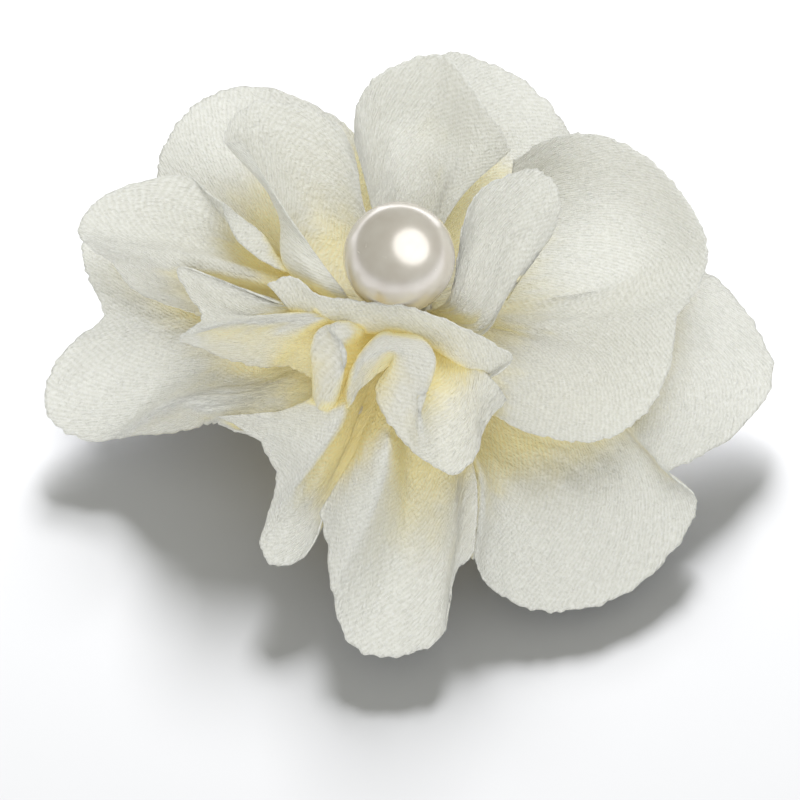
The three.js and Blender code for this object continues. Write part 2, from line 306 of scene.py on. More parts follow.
def crepe_satin():
    """Ivory cloth, a little translucent, with painted warm shade and a faint painted glow in its
    deep folds.
    """
    material, tree, shader = principled(
        "crepe_satin",
        Sheen_Weight=0.15,
        Sheen_Roughness=0.5,
        Subsurface_Weight=0.3,
        Subsurface_Radius=(1.0, 1.0, 0.95),
        Subsurface_Scale=1.2 * MM,
        Specular_IOR_Level=0.45,
        Emission_Strength=1.0,
    )
    cloth = add_node(tree, "ShaderNodeUVMap", uv_map="cloth")
    weave = tree.nodes.new("ShaderNodeGroup")
    weave.node_tree = crepe_weave
    tree.links.new(cloth.outputs["UV"], weave.inputs["Cloth"])
    face = ramp_node(tree, weave.outputs["Tone"], FACE_TONES)
    # The golden ramp is painted warm shade, mixed in where the cloth is sheltered.
    heart = ramp_node(tree, weave.outputs["Tone"], PAINTED_SHADE_TONES)
    glinting = math_node(tree, "MULTIPLY", weave.outputs["Glints"], GLINT_SHARE)
    # The glint spots are painted whiter in the base colour, a painted glint over their real lower
    # roughness.
    face = mix_colours(tree, glinting, face, GLINT_COLOUR)
    painted_warmth = add_node(tree, "ShaderNodeAttribute", attribute_name="painted_warmth")
    painted_shade_share = add_node(tree, "ShaderNodeMapRange", interpolation_type="SMOOTHSTEP")
    painted_shade_share.inputs["From Min"].default_value = OPEN_TO
    painted_shade_share.inputs["From Max"].default_value = DEEP_FROM
    tree.links.new(painted_warmth.outputs["Fac"], painted_shade_share.inputs["Value"])
    face_with_painted_shade = mix_colours(tree, painted_shade_share.outputs["Result"], face, heart)
    tree.links.new(face_with_painted_shade, shader.inputs["Base Color"])
    # A faint painted glow in the sheltered folds, standing in for light come through the cloth.
    glow = mix_colours(tree, painted_shade_share.outputs["Result"], (0, 0, 0, 1), PAINTED_GLOW_COLOUR)
    tree.links.new(glow, shader.inputs["Emission Color"])
    material.cycles.emission_sampling = "NONE"
    dull = math_node(tree, "MULTIPLY_ADD", weave.outputs["Tone"], TONE_SHINE)
    dull.node.inputs[2].default_value = DULLEST
    rough = math_node(tree, "MULTIPLY_ADD", weave.outputs["Glints"], GLINT_SHINE)
    tree.links.new(dull, rough.node.inputs[2])
    tree.links.new(rough, shader.inputs["Roughness"])
    bump = add_node(tree, "ShaderNodeBump", strength=1.0, distance=0.15 * MM)
    tree.links.new(weave.outputs["Height"], bump.inputs["Height"])
    tree.links.new(bump.outputs["Normal"], shader.inputs["Normal"])
    return material


CREPE = crepe_satin()

# %% [markdown]
# ### Metals, felt, buckram, thread and glue
# The clip is pressed from nickel-plated strip, so it is bright, with fine rubbing marks and
# faint cloudy patches. The spring and the stem are bare wire. Felt, buckram and thread share
# one group that lays fibres over their own coordinates, because each is made of fibres of its
# own size. Hot glue is milky and a little uneven.


# %% Fibres and rubbing marks
def build_fibre_group():
    """Tangled fibres in object millimetres, stretched by the material that uses them."""
    group = new_group(
        "tangled_fibres",
        [
            ("Fibres per mm", "NodeSocketFloat", 3.0),
            ("Stretch", "NodeSocketVector", (1, 1, 1)),
        ],
        [("Height", "NodeSocketFloat", None), ("Clouds", "NodeSocketFloat", None)],
    )
    given = group.nodes.new("NodeGroupInput")
    result = group.nodes.new("NodeGroupOutput")
    place = group.nodes.new("ShaderNodeTexCoord")
    in_mm = group.nodes.new("ShaderNodeMapping")
    in_mm.inputs["Scale"].default_value = (1 / MM, 1 / MM, 1 / MM)
    group.links.new(place.outputs["Object"], in_mm.inputs["Vector"])
    stretched = add_node(group, "ShaderNodeVectorMath", operation="MULTIPLY")
    group.links.new(in_mm.outputs["Vector"], stretched.inputs[0])
    group.links.new(given.outputs["Stretch"], stretched.inputs[1])
    fibres = group.nodes.new("ShaderNodeTexNoise")
    fibres.inputs["Detail"].default_value = 4
    fibres.inputs["Roughness"].default_value = 0.7
    fibres.inputs["Distortion"].default_value = 1.5
    group.links.new(stretched.outputs["Vector"], fibres.inputs["Vector"])
    group.links.new(given.outputs["Fibres per mm"], fibres.inputs["Scale"])
    clouds = group.nodes.new("ShaderNodeTexNoise")
    clouds.inputs["Scale"].default_value = 0.35
    clouds.inputs["Detail"].default_value = 2
    group.links.new(in_mm.outputs["Vector"], clouds.inputs["Vector"])
    group.links.new(fibres.outputs["Fac"], result.inputs["Height"])
    group.links.new(clouds.outputs["Fac"], result.inputs["Clouds"])
    return group


tangled_fibres = build_fibre_group()
print("node group", tangled_fibres.name, "with", len(tangled_fibres.nodes), "nodes")


def fibrous(name, tones, per_mm, stretch, depth, roughness, **sockets):
    """A finish whose tone, roughness and bump follow the fibre group."""
    material, tree, shader = principled(name, **sockets)
    fibres = tree.nodes.new("ShaderNodeGroup")
    fibres.node_tree = tangled_fibres
    fibres.inputs["Fibres per mm"].default_value = per_mm
    fibres.inputs["Stretch"].default_value = stretch
    both = math_node(tree, "ADD", fibres.outputs["Height"], fibres.outputs["Clouds"])
    half = math_node(tree, "MULTIPLY", both, 0.5)
    places = (0.35, 0.65)
    tree.links.new(ramp_node(tree, half, list(zip(places, tones))), shader.inputs["Base Color"])
    rough = math_node(tree, "MULTIPLY_ADD", fibres.outputs["Height"], roughness[1] - roughness[0])
    rough.node.inputs[2].default_value = roughness[0]
    tree.links.new(rough, shader.inputs["Roughness"])
    bump = add_node(tree, "ShaderNodeBump", strength=0.8, distance=depth * MM)
    tree.links.new(fibres.outputs["Height"], bump.inputs["Height"])
    tree.links.new(bump.outputs["Normal"], shader.inputs["Normal"])
    return material


# %% Metal and backing finishes
EVEN = (1, 1, 1)
NICKEL = fibrous(
    "nickel_plate", ((0.58, 0.57, 0.55), (0.74, 0.73, 0.70)), 2.0, (0.15, 2.5, 2.5),
    0.012, (0.16, 0.42), Metallic=1.0,
)
SPRING_STEEL = fibrous(
    "spring_wire", ((0.40, 0.39, 0.38), (0.60, 0.59, 0.57)), 5.0, EVEN,
    0.010, (0.22, 0.45), Metallic=1.0,
)
STEM_WIRE = fibrous(
    "stem_wire", ((0.62, 0.60, 0.55), (0.78, 0.75, 0.68)), 4.0, (1, 1, 0.2),
    0.008, (0.20, 0.40), Metallic=1.0,
)
FELT = fibrous(
    "felt", ((0.74, 0.71, 0.62), (0.90, 0.88, 0.80)), 2.6, EVEN,
    0.35, (0.85, 1.0), Sheen_Weight=0.5, Sheen_Roughness=0.6,
)
BUCKRAM = fibrous(
    "buckram", ((0.78, 0.76, 0.68), (0.92, 0.90, 0.84)), 4.0, (3, 0.5, 1),
    0.20, (0.75, 0.95),
)
THREAD = fibrous(
    "sewing_thread", ((0.80, 0.78, 0.70), (0.96, 0.95, 0.90)), 6.0, (1, 1, 3),
    0.06, (0.45, 0.65), Sheen_Weight=0.3,
)
GLUE = fibrous(
    "hot_glue", ((0.78, 0.72, 0.54), (0.90, 0.86, 0.72)), 0.5, EVEN,
    0.20, (0.25, 0.45), Subsurface_Weight=0.5, Subsurface_Scale=1.5 * MM,
)

# %% [markdown]
# ### Pearl coat
# An imitation pearl is a bead dipped in pearl essence. It mirrors softly: the light panel is a
# round white patch, the unlit room makes a warm grey band, and the pale petals brighten its
# rim. A part-metallic base under a thin clear coat gives that depth.


# %% Pearl coat
def pearl_coat():
    material, tree, shader = principled(
        "pearl_coat",
        Metallic=0.56,
        Coat_Weight=0.35,
        Coat_Roughness=0.10,
        Specular_IOR_Level=0.6,
    )
    fibres = tree.nodes.new("ShaderNodeGroup")
    fibres.node_tree = tangled_fibres
    fibres.inputs["Fibres per mm"].default_value = 0.6
    tones = [(0.35, (0.80, 0.745, 0.695)), (0.65, (0.87, 0.825, 0.78))]
    tree.links.new(ramp_node(tree, fibres.outputs["Clouds"], tones), shader.inputs["Base Color"])
    rough = math_node(tree, "MULTIPLY_ADD", fibres.outputs["Height"], 0.10)
    rough.node.inputs[2].default_value = 0.20
    tree.links.new(rough, shader.inputs["Roughness"])
    return material


PEARL_COAT = pearl_coat()

# %% [markdown]
# ## Petals
# Each petal is one piece of cloth, gathered at its narrow end round the flower's heart. It is
# drawn as a few ribs, like the ribs of a fan. A rib runs from the gathered edge through a
# waist to the cut rim, and its two places are given as the turn about the stem in degrees, the
# reach from the stem and the height over the table, both in millimetres. A smooth sheet
# through the ribs gives the cups, rolled margins and ruffles that gathering makes.

# %% Petal patterns
PETALS = {
    "outer_petal_front": [
        (-105, 16.7, 8.5, -109, 25.8, 8),
        (-101, 18.3, 10, -103, 24.7, 9.8, -105, 29.2, 7.5),
        (-94, 19.5, 12.0, -96, 25.8, 11.6, -102, 33.6, 6.8),
        (-90, 18.0, 9.6, -93, 24.5, 8, -100, 36.5, 4.8),
        (-87, 15.0, 9.1, -89, 23.5, 4.9, -96, 38.9, 3.6),
        (-82, 15.0, 9.0, -84, 24.5, 4.1, -90, 39.4, 3.4),
        (-77, 15.5, 9.1, -80, 26.0, 4.7, -84, 38.0, 3.8),
        (-74, 20.8, 8, -77, 27.0, 6.6, -81, 34.1, 5),
        (-71, 21.1, 8.6, -79, 31.4, 6.3),
        (-68, 21.5, 9.4, -75, 30.4, 8),
    ],
    "outer_petal_right": [
        (-69, 20.3, 7.6, -77, 29.0, 6.2),
        (-67, 21.6, 8.6, -75, 30.5, 7),
        (-64, 22.4, 6, -74, 32.4, 5.5),
        (-59, 23.4, 5, -71, 34.6, 4),
        (-52, 24.5, 4.6, -65, 37.1, 3),
        (-44, 25.5, 5, -57, 38.9, 2.8),
        (-37, 25.7, 5.6, -47, 39.6, 3.2),
        (-33, 25.8, 6.2, -37, 39.1, 4),
        (-29, 25.5, 7, -33, 37.8, 5.2),
        (-26, 25.3, 7.6, -33, 34.5, 7),
        (-20, 25.6, 7.6, -26, 36.1, 6),
        (-15, 26.1, 7.6, -17, 39.2, 5.5),
        (-10, 26.2, 8, -7, 41.3, 6),
        (-4, 25.3, 9, 0, 39.4, 7.5),
        (2, 24.2, 10, 7, 36.2, 9.5),
        (7, 22.2, 11, 12, 32.8, 11),
    ],
    "outer_petal_back_right": [
        (43, 15.3, 11, 38, 28.6, 10),
        (49, 17.0, 11.5, 49, 30.0, 11),
        (58, 18.9, 12, 55, 32.1, 12),
        (65, 18.7, 12.5, 66, 34.1, 13),
        (72, 18.6, 12.5, 75, 35.0, 13.5),
        (78, 17.3, 12.5, 82, 34.8, 13.5),
        (84, 16.1, 12, 90, 31.9, 13),
    ],
    "outer_petal_back_left": [
        (100, 14.8, 12, 100, 21.9, 13),
        (111, 15.5, 12, 107, 27.0, 13.5),
        (118, 16.4, 12, 118, 33.5, 13.5),
        (126, 16.8, 11.5, 128, 35.9, 13),
        (134, 16.5, 11, 138, 35.1, 12),
        (142, 15.3, 10.5, 146, 32.6, 11),
        (147, 13.7, 10, 154, 27.1, 10),
    ],
    "outer_petal_left": [
        (145, 14.6, 9.7, 153, 29.0, 10.2),
        (161, 19.8, 10.5, 161, 35.8, 11),
        (166, 19.8, 10, 166, 36.2, 10.5),
        (173, 19.8, 9.5, 172, 34.5, 10),
        (179, 19.4, 9.2, 179, 32.5, 9),
        (183, 19.1, 9.0, 183, 35.9, 7.5),
        (188, 19.3, 8.9, 190, 39.1, 6.4),
        (192, 19.5, 8.9, 196, 39.3, 5),
        (196, 19.4, 8.9, 201, 36.0, 4.5),
        (205, 17.9, 9.0, 205, 27.7, 9.8, 204, 30.9, 5.2),
        (208, 17.7, 9.1, 207, 25.4, 10.2, 208, 26.6, 5.8),
        (211, 17.3, 9.2, 211, 23.5, 9.8, 212, 24.2, 7.6),
        (214, 16.5, 9.2, 215, 23.4, 8.4),
        (222, 14.6, 9.4, 224, 21.6, 8.7),
        (233, 13.3, 10, 234, 18.1, 9.3),
    ],
    "middle_petal_front": [
        (-130, 16.5, 11, -146, 23.5, 9.5),
        (-121, 16.6, 12, -139, 22.1, 9),
        (-115, 19.1, 13, -131, 22.2, 9),
        (-113, 21.5, 12, -123, 23.9, 8.5),
        (-115, 22.7, 9.5, -120, 27.5, 7.5),
        (-113, 21.4, 7.5, -118, 31.3, 6.5),
        (-111, 18.9, 7, -114, 32.6, 6),
        (-110, 17.4, 7, -110, 31.2, 6),
        (-106, 16.8, 8, -108, 28.6, 7),
        (-103, 16.2, 9, -108, 26.0, 8),
    ],
    "middle_petal_left": [
        (170, 13.5, 15.6, 166, 17.6, 17.2, 157, 20.8, 17.8),
        (163, 13.1, 14.6, 158, 16.3, 16.8, 154, 21.6, 17.6),
        (159, 15.2, 13.2, 156, 18.4, 14.8, 151, 24.5, 17),
        (158, 17.0, 13, 150, 27.2, 17.5),
        (158, 17.6, 13.2, 158, 31.8, 18),
        (161, 19.0, 13.5, 165, 34.7, 18),
        (166, 19.9, 14.2, 170, 35.4, 17.5),
        (170, 21.4, 15.5, 172, 34.5, 16.8),
        (174, 23.3, 15.2, 173, 31.7, 14.8),
        (174, 22.7, 13, 177, 28.9, 12.5),
        (177, 20.1, 12, 180, 24.4, 11.5),
        (178, 16.8, 12, 183, 21.2, 11),
    ],
    "middle_petal_back_left": [
        (110, 10.7, 15, 106, 18.1, 17),
        (113, 12.4, 15, 109, 20.6, 19),
        (117, 14.2, 14.5, 115, 22.9, 20),
        (123, 14.9, 13.8, 122, 25.4, 20.5),
        (131, 13.9, 13.2, 128, 26.8, 20.5),
        (141, 11.9, 13, 135, 17.7, 16.3, 132, 27.1, 20),
        (155, 11.9, 13.2, 143, 16.4, 16.6, 136, 26.3, 19.8),
        (168, 12.2, 14.6, 146, 16.2, 17.8, 140, 24.8, 20.4),
        (188, 8.8, 16.6, 150, 14.5, 18.9, 140, 23.9, 21),
        (203, 6.2, 17.2, 157, 11.8, 19.2, 138, 23.1, 21.2),
    ],
    "middle_petal_back": [
        (60, 12.3, 16, 56, 22.1, 16),
        (66, 14.0, 16, 60, 22.6, 18),
        (70, 15.1, 16, 69, 19.8, 16.8, 66, 23.2, 20),
        (75, 16.3, 15.5, 75, 21.7, 16.4, 73, 25.4, 21),
        (80, 16.7, 15, 81, 23.1, 16, 80, 28.0, 21.5),
        (86, 16.2, 15, 87, 22.1, 16, 89, 26.6, 21.5),
        (92, 15.3, 15, 94, 20.5, 16.2, 97, 24.5, 21),
        (99, 13.7, 15, 102, 22.4, 19.5),
        (105, 11.8, 15, 105, 19.3, 17.5),
    ],
    "middle_petal_right": [
        (-51, 13.8, 12, -56, 17.6, 12),
        (-44, 15.0, 11.5, -50, 21.0, 11),
        (-34, 17.1, 10.5, -43, 24.9, 10.5),
        (-25, 19.1, 10, -36, 27.9, 10.5),
        (-17, 20.0, 10, -26, 29.8, 11),
        (-12, 20.7, 10.5, -15, 30.3, 12),
        (-6, 20.9, 11.5, -6, 30.2, 14),
        (0, 20.9, 11, 0, 32.4, 15),
        (8, 20.6, 11, 10, 28.5, 13, 6, 33.6, 17.5),
        (15, 20.0, 11.5, 18, 28.4, 13.8, 14, 32.6, 19),
        (23, 19.3, 12, 27, 27.0, 14.5, 25, 30.9, 20),
        (30, 18.6, 12.5, 34, 24.6, 15, 37, 28.4, 20),
        (37, 17.5, 13, 42, 21.6, 15.5, 46, 24.7, 19),
        (44, 16.2, 13.5, 52, 20.5, 17),
    ],
    "inner_petal_right": [
        (-35, 10.6, 14.5, -17, 11.7, 16.5, -7, 12.8, 18.5),
        (-32, 10.1, 15, -6, 12.5, 18.5, 8, 16.5, 21.5),
        (-30, 9.3, 15.6, 7, 12.2, 20, 17, 18.0, 24),
        (-30, 8.5, 16, 14, 11.7, 20.8, 28, 17.4, 25),
        (-29, 7.7, 16.2, 16, 10.2, 20.8, 33, 14.4, 25),
        (-28, 6.9, 16.2, 17, 8.2, 20.5, 34, 10.1, 24.3),
        (-29, 6.2, 16.2, 6, 6.7, 20, 24, 7.5, 22.3),
        (-27, 5.7, 15.8, -12, 6.1, 18.2, -1, 6.2, 19.8),
    ],
    "inner_petal_collar": [
        (-161, 11.2, 15, -174, 14.2, 17.5),
        (-154, 10.4, 15, -175, 11.7, 18.5),
        (-145, 9.0, 15.2, -155, 9.3, 18.8),
        (-132, 7.8, 15.3, -137, 6.9, 19.2),
        (-112, 6.8, 15.3, -112, 6.0, 19.8),
        (-85, 6.8, 15.3, -85, 6.1, 20),
        (-67, 8.4, 15, -58, 8.4, 19.2),
        (-58, 10.8, 14.8, -46, 11.6, 18.2),
        (-53, 12.5, 14.4, -42, 14.4, 17.4),
        (-51, 13.5, 13.8, -41, 16.0, 16.6),
        (-54, 13.5, 13.2, -48, 15.4, 15),
    ],
    "inner_petal_left": [
        (-165, 10.5, 15, -167, 13.5, 16.5),
        (-167, 12.6, 15.8, -177, 18.2, 17),
        (-168, 15.1, 16, -183, 24.0, 17),
        (-166, 15.9, 15.5, -177, 22.8, 15.5),
        (-165, 16.4, 15.5, -170, 21.4, 15.2),
        (-160, 17.4, 17.5, -163, 23.7, 16.5),
        (-158, 16.9, 17.8, -164, 24.5, 15),
        (-155, 15.4, 17.8, -163, 22.1, 12.8),
        (-151, 13.3, 17.6, -157, 19.5, 12),
        (-146, 11.7, 17, -151, 16.9, 11.8),
        (-145, 10.8, 15, -147, 14.3, 11.2),
        (-140, 10.9, 14.4, -141, 13.5, 11.2),
        (-136, 11.1, 14.2, -135, 13.2, 11.4),
    ],
    "inner_petal_front": [
        (-143, 11.1, 15, -133, 13.5, 11),
        (-138, 11.4, 17.4, -126, 15.4, 11.4),
        (-129, 11.3, 19, -119, 12.2, 18, -120, 16.6, 12),
        (-121, 11.8, 18.6, -116, 13.1, 17, -117, 16.1, 12.2),
        (-121, 11.8, 15.5, -118, 13.8, 13.5, -116, 15.0, 11.6),
        (-117, 12.3, 13, -115, 14.9, 11.2),
        (-112, 12.7, 17, -110, 15.5, 13.5),
        (-105, 11.6, 18.8, -106, 14.1, 15.5),
        (-93, 10.9, 19.2, -95, 11.4, 16.5),
        (-80, 11.7, 19.2, -101, 13.1, 14.5),
        (-75, 13.5, 18.7, -96, 15.8, 13.8),
        (-78, 14.8, 17, -90, 18.1, 13),
        (-83, 16.6, 16, -84, 20.5, 12.5),
        (-78, 14.4, 14, -79, 22.0, 12),
        (-68, 14.1, 13.4, -75, 23.0, 12),
        (-62, 14.9, 13.4, -68, 21.7, 12.3),
        (-57, 15.7, 14, -62, 19.3, 13.2),
        (-50, 15.9, 14.5, -51, 18.3, 14),
    ],
}
GATHER_REACH = 3.6
GATHER_HEIGHTS = {"outer": 10.2, "middle": 11.6, "inner": 13.0}
print(len(PETALS), "petals with", sum(len(ribs) for ribs in PETALS.values()), "ribs")


# %% Smooth lines
def polar(turn, reach, height):
    """A place given round the stem, in millimetres."""
    angle = math.radians(turn)
    return Vector((reach * math.cos(angle), reach * math.sin(angle), height))


def knots_of(points):
    """Places along a line for its points, by the square root of their distances."""
    knots = [0.0]
    for before, after in zip(points, points[1:]):
        knots.append(knots[-1] + max((after - before).length, 0.05) ** 0.5)
    return knots


def line_point(points, knots, place):
    """The point at a place from 0 to 1 on the smooth line through the points."""
    at = place * knots[-1]
    index = 0
    while index < len(points) - 2 and knots[index + 1] < at:
        index += 1
    p1, p2 = points[index], points[index + 1]
    t1, t2 = knots[index], knots[index + 1]
    p0 = points[index - 1] if index else p1 * 2 - p2
    p3 = points[index + 2] if index + 2 < len(points) else p2 * 2 - p1
    t0 = knots[index - 1] if index else 2 * t1 - t2
    t3 = knots[index + 2] if index + 2 < len(points) else 2 * t2 - t1
    span = t2 - t1
    m1 = ((p1 - p0) / (t1 - t0) - (p2 - p0) / (t2 - t0) + (p2 - p1) / span) * span
    m2 = ((p2 - p1) / span - (p3 - p1) / (t3 - t1) + (p3 - p2) / (t3 - t2)) * span
    t = (at - t1) / span
    ahead = p1 * (2 * t**3 - 3 * t**2 + 1) + p2 * (3 * t**2 - 2 * t**3)
    return ahead + m1 * (t**3 - 2 * t**2 + t) + m2 * (t**3 - t**2)


# %% Petal cloth
CELL = 0.34
CLOTH = 0.20 * MM
GATHERED_SHARE = 0.45
CRUMPLE, CRUMPLES_PER_MM = 0.18, 0.28
DENT, DENTS_PER_MM = 0.07, 1.35
PLEAT, PLEAT_WIDTH = 0.35, 6.0
RAGGED, RAGGED_SHARE = 0.32, 0.06


def hammered(spot):
    """How far the crepe stands out of its own surface, at a place on the flat cloth, in mm."""
    crumple = noise.noise(spot * CRUMPLES_PER_MM) + 0.5 * noise.noise(spot * CRUMPLES_PER_MM * 2.3)
    dents = noise.noise(Vector((spot.x, spot.y * 1.3, spot.z)) * DENTS_PER_MM)
    return CRUMPLE * crumple + DENT * dents


def petal_lines(ribs, gather_height):
    """The ribs as lines of points, each from the gathered edge to the cut rim."""
    lines = []
    for rib in ribs:
        line = [polar(rib[0], GATHER_REACH, gather_height)]
        line += [polar(*rib[at : at + 3]) for at in range(0, len(rib), 3)]
        lines.append((line, knots_of(line)))
    return lines


petal_columns = {}


def petal_sheet(name, ribs, gather_height):
    """The middle surface of a petal, as a fine grid laid through its ribs.

    Its UV map is in millimetres of flat cloth.
    """
    lines = petal_lines(ribs, gather_height)
    rim_knots = knots_of([line[-1] for line, _ in lines])
    waist_knots = knots_of([line[1] for line, _ in lines])
    across_knots = [a / rim_knots[-1] + b / waist_knots[-1] for a, b in zip(rim_knots, waist_knots)]
    flat_width = sum((b[0][-1] - a[0][-1]).length for a, b in zip(lines, lines[1:]))
    lengths = [sum((b - a).length for a, b in zip(line, line[1:])) for line, _ in lines]
    flat_length = sum(lengths) / len(lengths)
    columns, rows = round(flat_width / CELL), round(flat_length / CELL)

    bm = bmesh.new()
    uv_layer = bm.loops.layers.uv.new("cloth")
    bmesh.ops.create_grid(bm, x_segments=columns, y_segments=rows, size=1)
    bm.verts.ensure_lookup_table()
    row_points = [[line_point(*line, row / rows) for line in lines] for row in range(rows + 1)]
    seed = len(name) * 7.3 + len(ribs) * 3.1
    flat_place = {}
    for vert in bm.verts:
        across, along = (vert.co.x + 1) / 2, (vert.co.y + 1) / 2
        row = round(along * rows)
        spot = line_point(row_points[row], across_knots, across)
        share = GATHERED_SHARE + (1 - GATHERED_SHARE) * along
        flat_across = (0.5 + (across - 0.5) * share) * flat_width
        flat_place[vert] = (flat_across, along * flat_length)
        if along > 1 - RAGGED_SHARE:
            before = line_point(row_points[row - 2], across_knots, across)
            turn = Vector((across * flat_width, seed, 0))
            ragged = 0.7 * noise.noise(turn * 0.6) + noise.noise(turn * 1.4)
            edge = (along - 1 + RAGGED_SHARE) / RAGGED_SHARE
            spot = spot + (spot - before).normalized() * ragged * RAGGED * edge**2
        vert.co = spot * MM
    for face in bm.faces:
        for loop in face.loops:
            loop[uv_layer].uv = flat_place[loop.vert]
    bm.normal_update()
    for vert in bm.verts:
        flat = flat_place[vert]
        along = flat[1] / flat_length
        rise = hammered(Vector((*flat, seed)))
        waves = math.sin(flat[0] / flat_width * math.tau * flat_width / PLEAT_WIDTH + seed)
        rise += PLEAT * waves * along * (1 - along) ** 2
        vert.co += vert.normal * rise * MM
    bmesh.ops.recalc_face_normals(bm, faces=bm.faces)
    mesh = bpy.data.meshes.new(name)
    bm.to_mesh(mesh)
    area = sum(face.calc_area() for face in bm.faces)
    bm.free()
    mesh.polygons.foreach_set("use_smooth", [True] * len(mesh.polygons))
    petal_columns[name] = columns
    return mesh, area, flat_width * MM, flat_length * MM


def show(name, mesh, material):
    """Adds a mesh to the scene as a piece."""
    piece = bpy.data.objects.new(name, mesh)
    scene.collection.objects.link(piece)
    mesh.materials.append(material)
    return piece


def mounted(piece, node_name, body="flower"):
    """The piece moves with a body and stands for a node of the CAD model."""
    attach(piece, body)
    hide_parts(node_name)


# %% [markdown]
# ## Gathering threads
# Each ring of petals is run through with thread, pulled tight and wound round a few times.
# The turns are a small circle spun round the stem and lifted a little at each step, so that
# they lie on each other like the turns of a screw.

# %% Thread turns
THREAD_RADIUS = 0.10
THREAD_TURNS = 4
THREAD_STEPS_PER_TURN = 56


def finished(bm, name, smooth=True):
    """A bmesh with clean doubles and outward faces, as a mesh in metres."""
    bmesh.ops.remove_doubles(bm, verts=bm.verts, dist=0.001)
    bmesh.ops.recalc_face_normals(bm, faces=bm.faces)
    bmesh.ops.scale(bm, vec=(MM, MM, MM), verts=bm.verts)
    mesh = bpy.data.meshes.new(name)
    bm.to_mesh(mesh)
    bm.free()
    mesh.polygons.foreach_set("use_smooth", [smooth] * len(mesh.polygons))
    return mesh


def close_ends(bm):
    """Fills the open ends of a tube."""
    bmesh.ops.holes_fill(bm, edges=[edge for edge in bm.edges if edge.is_boundary], sides=0)


def thread_mesh(name, low, high):
    reach = high[0] / MM - THREAD_RADIUS
    start = low[2] / MM + THREAD_RADIUS
    rise = (high[2] - low[2]) / MM - 2 * THREAD_RADIUS
    steps = THREAD_TURNS * THREAD_STEPS_PER_TURN
    bm = bmesh.new()
    section = Matrix.Translation((reach, 0, start)) @ Matrix.Rotation(math.pi / 2, 4, "X")
    bmesh.ops.create_circle(bm, segments=8, radius=THREAD_RADIUS, matrix=section)
    bmesh.ops.spin(
        bm, geom=bm.verts[:] + bm.edges[:], cent=(0, 0, 0), axis=(0, 0, 1),
        dvec=(0, 0, rise / steps), angle=math.tau * THREAD_TURNS, steps=steps, use_merge=False,
    )
    close_ends(bm)
    return finished(bm, name)


for ring in GATHER_HEIGHTS:
    node_name = ring + "_gather_thread"
    turns = show(node_name + "_turns", thread_mesh(node_name, *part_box(node_name)), THREAD)
    mounted(turns, node_name)
    print(turns.name, "has", THREAD_TURNS, "turns")

# %% [markdown]
# ## Sewing the petals
# Each petal hangs from its ring's thread. Its flat size is as wide as its rim and as long as its
# ribs. The cut area that goes with it is not a separate measure: it is the built petal's own
# area and a twentieth more, so comparing the two shows nothing. Laid out flat as in its UV map,
# most of these petals would need clearly more cloth than they hold here, probably because the
# finest pleats at the gathers are left out.

for node_name, ribs in PETALS.items():
    ring = node_name.split("_")[0]
    mesh, area, width, length = petal_sheet(
        node_name + "_cloth", ribs, GATHER_HEIGHTS[ring]
    )
    petal = show(node_name + "_cloth", mesh, CREPE)
    wall = petal.modifiers.new("cloth_thickness", "SOLIDIFY")
    wall.thickness = CLOTH
    wall.offset = 0
    mounted(petal, node_name)
    size = f"{width / MM:.0f} x {length / MM:.0f} mm flat"
    print(f"{node_name}: {size}, {area / MM**2:.0f} mm2 built, {len(mesh.polygons)} faces")

# %% [markdown]
# ## Warmth in the folds
# Light that reaches a deep fold has passed through cloth or bounced between petals, and turns
# more golden on the way, so the hollows look warm and the open faces look white. The light here
# doesn't gather enough of that by itself, so it is painted in, with a faint glow of its own. How
# much of the sky the cloth hides is measured at places all over each petal, made stronger near
# the stem, and kept on the petal's points.

# %% Warmth
ANYWHERE, CENTRAL = 0.50, 0.60
HEART_REACH, FACE_REACH = 8, 28
STEP = 4
SHELTER_REACH = 30 * MM
OFF_THE_CLOTH = 0.5 * MM
SKY_RINGS = ((1, 0.0), (6, 0.45), (9, 0.75), (8, 0.93))
SKY = [
    Vector((math.cos(turn) * lean, math.sin(turn) * lean, math.sqrt(1 - lean * lean)))
    for count, lean in SKY_RINGS
    for turn in [math.tau * (place + 0.5 * lean) / count for place in range(count)]
]


def tree_of(petals):
    """All the cloth as one search tree, so that a ray can be tested against it."""
    corners, faces = [], []
    for petal in petals:
        faces += [[index + len(corners) for index in face.vertices] for face in petal.data.polygons]
        corners += [vert.co for vert in petal.data.vertices]
    return BVHTree.FromPolygons(corners, faces)


def shelter_at(vert, cloths):
    """The share of the sky that the cloth hides from a point on it."""
    hidden = 0
    for sky in SKY:
        side = vert.normal if vert.normal.dot(sky) > 0 else -vert.normal
        if cloths.ray_cast(vert.co + side * OFF_THE_CLOTH, sky, SHELTER_REACH)[0]:
            hidden += 1
    return hidden / len(SKY)


def shelter_of(mesh, across, cloths):
    """The shelter at every point of a petal, measured at each fourth one and spread between."""
    rows = len(mesh.vertices) // across
    measured_rows = sorted({*range(0, rows, STEP), rows - 1})
    measured = sorted({*range(0, across, STEP), across - 1})
    coarse = [
        [shelter_at(mesh.vertices[row * across + column], cloths) for column in measured]
        for row in measured_rows
    ]
    spread = np.array([np.interp(range(across), measured, line) for line in coarse])
    return np.array([np.interp(range(rows), measured_rows, line) for line in spread.T]).T.ravel()


